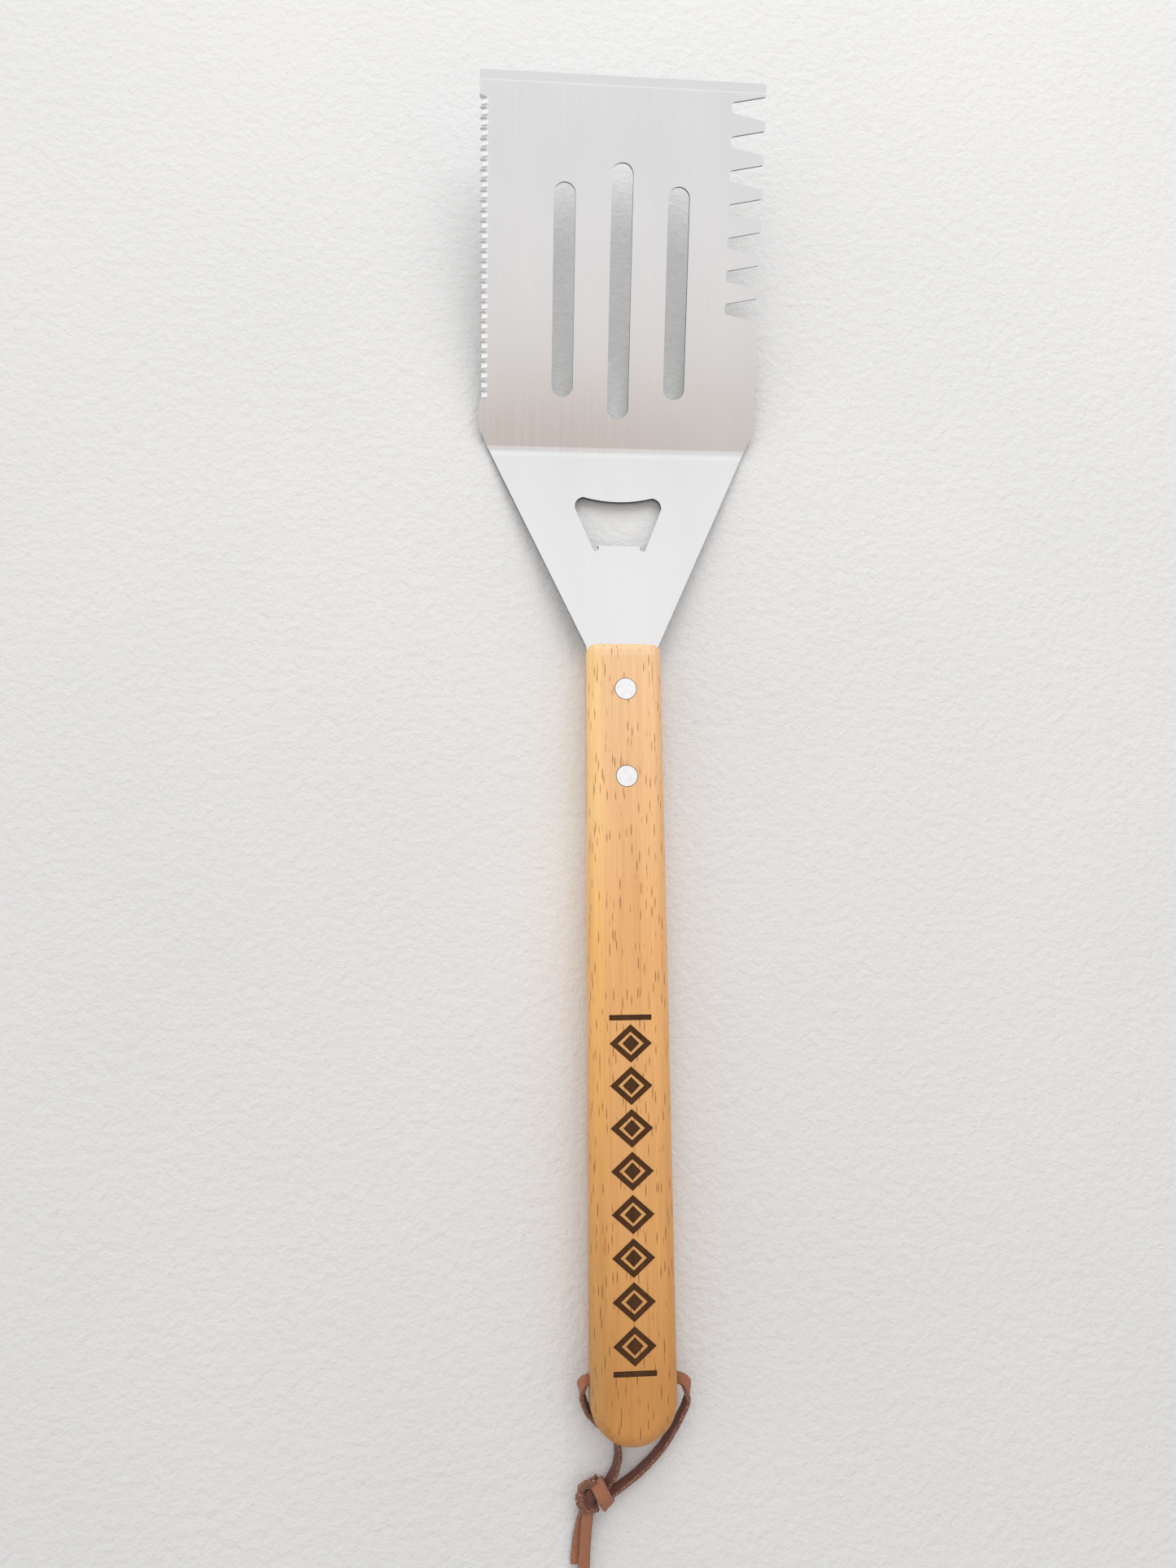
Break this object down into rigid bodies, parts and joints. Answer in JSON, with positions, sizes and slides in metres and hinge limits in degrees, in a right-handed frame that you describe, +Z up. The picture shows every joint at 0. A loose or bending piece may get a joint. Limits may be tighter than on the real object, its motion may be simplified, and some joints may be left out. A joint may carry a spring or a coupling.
{
  "type": "grill spatula",
  "caption": "Slotted steel grill spatula with serrated and toothed edges, a bottle opener in the neck, a riveted wooden handle and a leather hanging thong.",
  "frame": {"origin": "under the middle of the tool, on the surface it lies on, measured without the thong", "axes": "+Y towards the blade's front edge, +Z up from the surface it lies on, +X to the right seen from above with the blade away from the viewer"},
  "size_m": [0.099, 0.5022, 0.0384],
  "materials": {
    "blade_steel": "lengthwise brushed stainless steel",
    "handle_wood": "light oiled hardwood with burnt decoration",
    "rivet_aluminium": "burnished",
    "thong_leather": "raw-edged reddish brown strip"
  },
  "bodies": {
    "root": {"blade": "blade_steel", "handle": "handle_wood", "rivet_front": "rivet_aluminium", "rivet_rear": "rivet_aluminium", "lanyard_bore_stretch": "thong_leather", "lanyard_left_strand": "thong_leather", "lanyard_right_strand": "thong_leather", "lanyard_knot": "thong_leather", "lanyard_tail_short": "thong_leather", "lanyard_tail_long": "thong_leather"}
  },
  "joints": []
}
